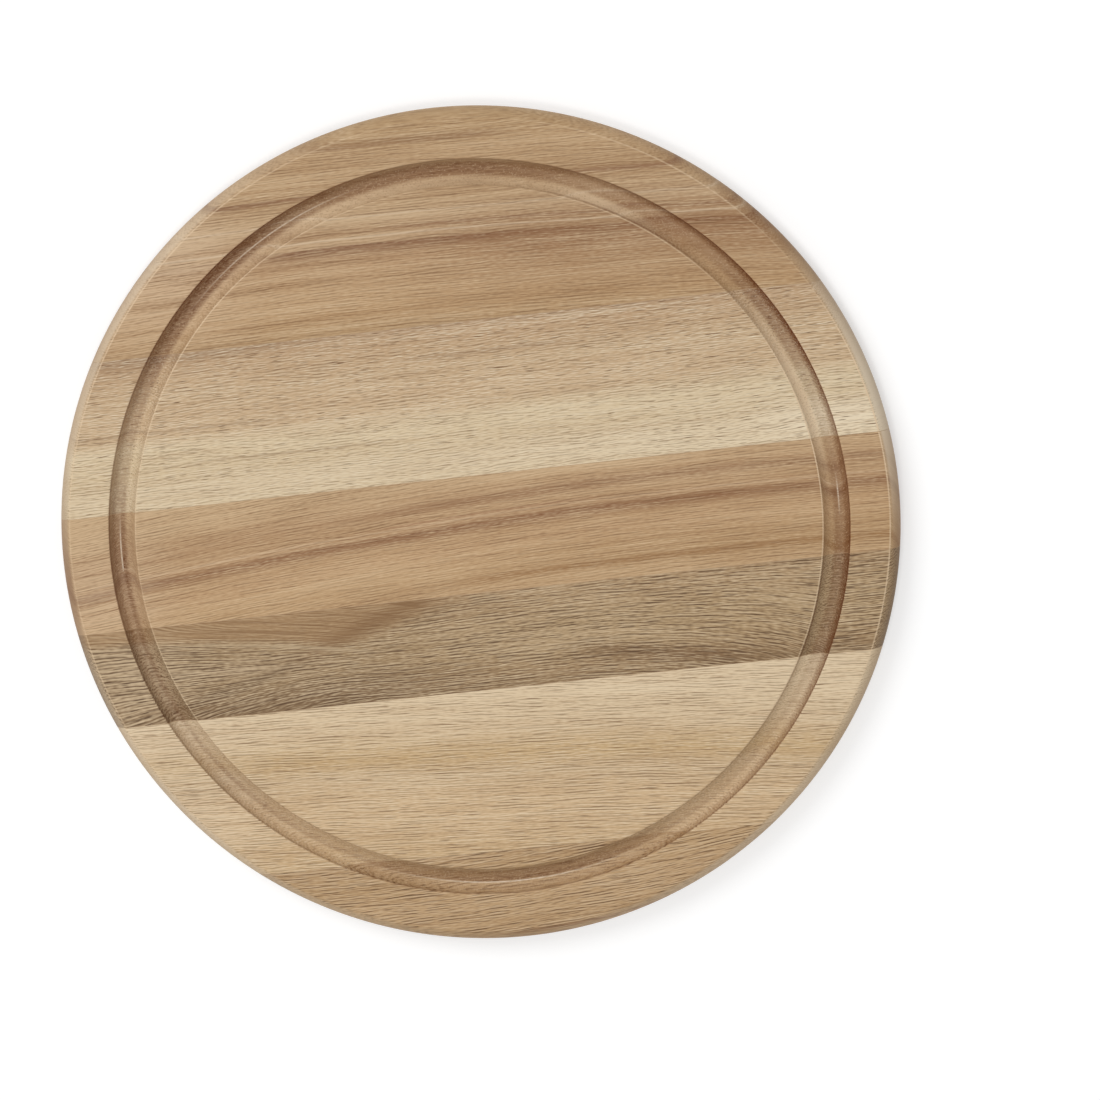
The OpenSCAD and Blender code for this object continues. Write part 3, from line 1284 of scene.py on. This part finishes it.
@dataclass
class TurnedBlank:
    """The board as one turned disc, before it is parted into staves and glue lines, in metres."""

    radius: float
    thickness: float
    edge_swell: float = 4.75 * MM
    groove_margin: float = 20.25 * MM
    groove_width: float = 10.25 * MM
    groove_depth: float = 3.5 * MM
    outer_wall_run: float = 3.6 * MM
    floor_run: float = 0.6 * MM
    lip_ease: float = 0.5 * MM
    crease_ease: float = 0.4 * MM
    hold: float = 1.3 * MM
    merge_within: float = 0.001 * MM
    corner_within: float = 0.02 * MM
    ease_steps: int = 3
    arc_steps: int = 20
    outer_steps: int = 8
    inner_steps: int = 10
    turn_steps: int = 480

    @property
    def face_radius(self) -> float:
        """Give the radius of the flat face, up to the crease."""
        return self.radius - self.edge_swell

    @property
    def outer_lip(self) -> float:
        """Give the radius of the groove's outer lip."""
        return self.radius - self.groove_margin

    @property
    def inner_lip(self) -> float:
        """Give the radius of the groove's inner lip."""
        return self.outer_lip - self.groove_width

    @property
    def low_line(self) -> float:
        """Give the radius of the groove's deepest line."""
        return self.outer_lip - self.outer_wall_run

    def turning(self) -> Turning:
        """Give the places of the turned details to the finishes, in millimetres."""
        return Turning(
            thickness=self.thickness / MM,
            inner_lip=self.inner_lip / MM,
            outer_lip=self.outer_lip / MM,
            low_line=self.low_line / MM,
            face_radius=self.face_radius / MM,
        )

    def flank(self, low: float, lip: float, steps: int) -> list[Vector]:
        """Lay out one side of the groove as an arc.

        Args:
            low: radius of the side's low line.
            lip: radius of its lip.
            steps: how many straight stretches make the arc.

        Returns:
            Points from the low line up to the lip.
        """
        run, depth = lip - low, self.groove_depth
        bend = (run * run + depth * depth) / (2 * depth)
        swing = math.asin(run / bend)
        turns = [swing * step / steps for step in range(steps + 1)]
        floor = self.thickness - depth
        return [Vector((low + bend * math.sin(t), 0, floor + bend * (1 - math.cos(t)))) for t in turns]

    def section(self) -> list[Vector]:
        """Lay out half of the board's section, from the groove over the rim to the underside.

        Returns:
            Points with the radius as x and the height as z.
        """
        top = self.thickness
        points = [Vector((self.inner_lip - self.hold, 0, top))]
        points += reversed(self.flank(self.low_line - self.floor_run, self.inner_lip, self.inner_steps))
        points += self.flank(self.low_line, self.outer_lip, self.outer_steps)
        points.append(Vector((self.outer_lip + self.hold, 0, top)))
        points.append(Vector((self.face_radius - self.hold, 0, top)))
        swell = self.edge_swell
        bull = (top * top / 4 + swell * swell) / (2 * swell)
        reach = math.asin(top / 2 / bull)
        for step in range(self.arc_steps + 1):
            turn = reach * (1 - 2 * step / self.arc_steps)
            out = self.radius - bull * (1 - math.cos(turn))
            points.append(Vector((out, 0, top / 2 + bull * math.sin(turn))))
        points.append(Vector((self.face_radius - self.hold, 0, 0)))
        return points

    def build(self) -> bpy.types.Object:
        """Turn the section into a closed disc and ease its corners.

        Returns:
            The disc.
        """
        points = self.section()
        bpy.ops.object.select_all(action="DESELECT")
        bpy.ops.mesh.primitive_plane_add(size=MM)
        disc = bpy.context.active_object
        bpy.ops.object.mode_set(mode="EDIT")
        bpy.ops.mesh.select_all(action="SELECT")
        bpy.ops.mesh.merge(type="CENTER")
        bpy.ops.transform.translate(value=points[0])
        for before, after in zip(points, points[1:]):
            bpy.ops.mesh.extrude_region_move(TRANSFORM_OT_translate={"value": after - before})
        bpy.ops.mesh.select_all(action="SELECT")
        bpy.ops.mesh.spin(steps=self.turn_steps, angle=math.tau, center=(0, 0, 0), axis=(0, 0, 1))
        bpy.ops.mesh.select_all(action="SELECT")
        bpy.ops.mesh.remove_doubles(threshold=self.merge_within)
        bpy.ops.mesh.select_all(action="DESELECT")
        bpy.ops.mesh.select_non_manifold()
        bpy.ops.mesh.edge_face_add()
        bpy.ops.mesh.select_all(action="SELECT")
        bpy.ops.mesh.normals_make_consistent(inside=False)
        self.ease(disc, self.inner_lip, self.thickness, self.lip_ease)
        self.ease(disc, self.outer_lip, self.thickness, self.lip_ease)
        self.ease(disc, self.face_radius, self.thickness, self.crease_ease)
        self.ease(disc, self.face_radius, 0.0, self.crease_ease)
        bpy.ops.object.mode_set(mode="OBJECT")
        return disc

    def ease(self, disc: bpy.types.Object, radius: float, height: float, width: float) -> None:
        """Round one ring-shaped corner of the disc.

        Args:
            disc: the object in edit mode.
            radius: the corner's radius.
            height: the corner's height.
            width: how far the rounding runs back from the corner.
        """
        near = self.corner_within

        def on_corner(point: Vector) -> bool:
            """Say whether a point lies on the corner."""
            return abs(point.xy.length - radius) < near and abs(point.z - height) < near

        pick_edges(disc, lambda first, second: on_corner(first) and on_corner(second))
        steps = self.ease_steps
        bpy.ops.mesh.bevel(offset=width, offset_type="OFFSET", segments=steps, profile=0.5, affect="EDGES")


@dataclass
class BoardPiece:
    """One stave or glue line: a slice of the turned disc between two parting planes."""

    name: str
    node: str
    finish: Union[WoodFinish, GlueFinish]
    flat_within: float = math.radians(40.0)
    end_within: float = 0.5 * MM

    def build(self, disc: bpy.types.Object) -> bpy.types.Object:
        """Part the piece from a copy of the disc.

        Args:
            disc: the whole turned disc.

        Returns:
            The piece.
        """
        piece = disc.copy()
        piece.data = disc.data.copy()
        piece.name = self.name
        piece.data.name = self.name
        bpy.context.scene.collection.objects.link(piece)
        low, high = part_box(self.node)
        only(piece)
        bpy.ops.object.mode_set(mode="EDIT")
        self.part(high.y, Cut.BEHIND)
        self.part(low.y, Cut.IN_FRONT)
        bpy.ops.object.mode_set(mode="OBJECT")
        bpy.ops.object.shade_smooth_by_angle(angle=self.flat_within)
        return piece

    def part(self, place: float, cut: Cut) -> None:
        """Cut the piece across and close the cut, unless the disc ends there.

        Args:
            place: where the parting plane lies across the board.
            cut: the side of it that is thrown away.
        """
        if abs(place) > CAD_BOX[1].y - self.end_within:
            return
        bpy.ops.mesh.select_all(action="SELECT")
        bpy.ops.mesh.bisect(plane_co=(0, place, 0), plane_no=(0, 1, 0), use_fill=True, **{cut.value: True})

    def dress(self, piece: bpy.types.Object, material: bpy.types.Material) -> None:
        """Give the piece its material and its place in the frame.

        Args:
            piece: the parted piece.
            material: its finish as a material.
        """
        piece.data.materials.clear()
        piece.data.materials.append(material)
        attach(piece, BODY)
        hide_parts(self.node)


@dataclass
class ServingBoard:
    """The whole board: six staves and the five glue lines between them."""

    blank: TurnedBlank
    staves: tuple[tuple[str, str, WoodFinish], ...] = (
        ("back_edge_stave", "stave_1_back_edge", TAN_STREAKED),
        ("back_wide_stave", "stave_2_back_wide", PALE_FLECKED),
        ("centre_stave", "stave_3_centre", RED_TAN),
        ("narrow_stave", "stave_4_narrow", GREY_BROWN),
        ("front_wide_stave", "stave_5_front_wide", CREAM),
        ("front_edge_stave", "stave_6_front_edge", TAN_PLAIN),
    )
    glue: GlueFinish = field(default_factory=GlueFinish)

    def pieces(self) -> list[BoardPiece]:
        """List the staves and then the glue lines, each from the back of the board to the front.

        Returns:
            The pieces.
        """
        listed = [BoardPiece(name, node, finish) for name, node, finish in self.staves]
        for number in range(1, len(self.staves)):
            seam = f"glue_line_{number}_{number + 1}"
            listed.append(BoardPiece(f"seam_{number}_{number + 1}", seam, self.glue))
        return listed

    def build(self) -> None:
        """Make every piece, dress it and report it."""
        disc = self.blank.build()
        turning = self.blank.turning()
        materials: dict[str, bpy.types.Material] = {}
        for part in self.pieces():
            made = part.build(disc)
            if part.finish.slot not in materials:
                materials[part.finish.slot] = part.finish.material(turning)
            part.dress(made, materials[part.finish.slot])
            LOG.info("%s: %d faces, %s", part.name, len(made.data.polygons), part.finish.slot)
        bpy.data.objects.remove(disc)


@dataclass(frozen=True)
class Lamp:
    """A soft round lamp that points at the board, in metres and watts."""

    name: str
    place: tuple[float, float, float]
    size: float
    power: float

    def hang(self) -> None:
        """Hang the lamp."""
        light = bpy.data.lights.new(self.name, "AREA")
        light.shape = "DISK"
        light.size = self.size
        light.energy = self.power
        hung = bpy.data.objects.new(self.name, light)
        hung.location = self.place
        hung.rotation_euler = (-Vector(self.place)).to_track_quat("-Z", "Y").to_euler()
        bpy.context.scene.collection.objects.link(hung)


@dataclass
class Studio:
    """The pale floor, soft lights and camera, in metres, with the glow's radii in millimetres."""

    floor_size: float = 8.0
    floor_drop: float = 0.2 * MM
    floor_shade: float = 0.7
    floor_roughness: float = 0.9
    glow: float = 0.42
    far_glow: float = 0.24
    glow_from: float = 400.0
    glow_full: float = 2400.0
    sky: float = 0.52
    lamps: tuple[Lamp, ...] = (
        Lamp("key_lamp", (-1.3, 1.6, 2.2), size=1.5, power=29.0),
        Lamp("top_lamp", (-0.11, -0.2, 1.25), size=0.3, power=3.0),
    )
    lens: float = 85.14
    sensor: float = 36.0
    nearest: float = 0.01
    farthest: float = 100.0
    camera_at: Vector = field(default_factory=lambda: Vector((76.6, 134.65, 1019.0)) * MM)
    camera_right: Vector = field(default_factory=lambda: Vector((0.99304, -0.11314, -0.0326)))
    camera_up: Vector = field(default_factory=lambda: Vector((0.10724, 0.98339, -0.14647)))

    def build(self) -> None:
        """Set up the floor, world, lamps, camera and colour handling."""
        self.floor()
        self.world()
        for lamp in self.lamps:
            lamp.hang()
        self.camera()
        bpy.context.scene.view_settings.view_transform = "Standard"

    def seen_directly(self, graph: NodeGraph) -> Signal:
        """Say whether the eye, a mirror or clear glass looks at the surface.

        Args:
            graph: the nodes of the floor or the world.

        Returns:
            One if so, zero if not.
        """
        path = graph.add("ShaderNodeLightPath")
        kinds = ("Is Camera Ray", "Is Glossy Ray", "Is Transmission Ray")
        first, second, third = [Signal(graph, path.outputs[kind]) for kind in kinds]
        return (first + second + third).kept()

    def floor(self) -> None:
        """Lay a plain white floor under the board."""
        bpy.ops.object.select_all(action="DESELECT")
        bpy.ops.mesh.primitive_plane_add(size=self.floor_size, location=(0, 0, -self.floor_drop))
        ground = bpy.context.active_object
        ground.name = "floor"
        made, graph, shader = start_material("floor_paper")
        shade = self.floor_shade
        shader.inputs["Base Color"].default_value = (shade, shade, shade, 1.0)
        shader.inputs["Roughness"].default_value = self.floor_roughness
        shader.inputs["Specular IOR Level"].default_value = 0.0
        shader.inputs["Emission Color"].default_value = WHITE
        x, y, _ = graph.place()
        far = (x * x + y * y).root().ease(self.glow_from, self.glow_full)
        glow = self.seen_directly(graph) * (far * self.far_glow + self.glow)
        graph.feed(shader.inputs["Emission Strength"], glow)
        ground.data.materials.append(made)

    def world(self) -> None:
        """Surround the scene with soft even light that looks white behind the board."""
        sky = bpy.data.worlds.new("studio")
        sky.use_nodes = True
        bpy.context.scene.world = sky
        graph = NodeGraph(sky.node_tree)
        background = sky.node_tree.nodes["Background"]
        background.inputs["Color"].default_value = WHITE
        graph.feed(background.inputs["Strength"], self.seen_directly(graph) * (1.0 - self.sky) + self.sky)

    def camera(self) -> None:
        """Stand the camera where it sees the board almost from straight above."""
        view = bpy.data.cameras.new("camera")
        view.lens = self.lens
        view.sensor_width = self.sensor
        view.clip_start = self.nearest
        view.clip_end = self.farthest
        eye = bpy.data.objects.new("camera", view)
        right = self.camera_right.normalized()
        back = right.cross(self.camera_up).normalized()
        up = back.cross(right)
        turned = Matrix((right, up, back)).transposed().to_4x4()
        eye.matrix_world = Matrix.Translation(self.camera_at) @ turned
        bpy.context.scene.collection.objects.link(eye)
        bpy.context.scene.camera = eye


def main() -> None:
    """Build the board and the studio."""
    logging.basicConfig(level=logging.INFO, format="%(name)s: %(message)s")
    low, high = CAD_BOX
    ServingBoard(TurnedBlank(radius=high.x, thickness=high.z - low.z)).build()
    Studio().build()


if __name__ == "__main__":
    main()
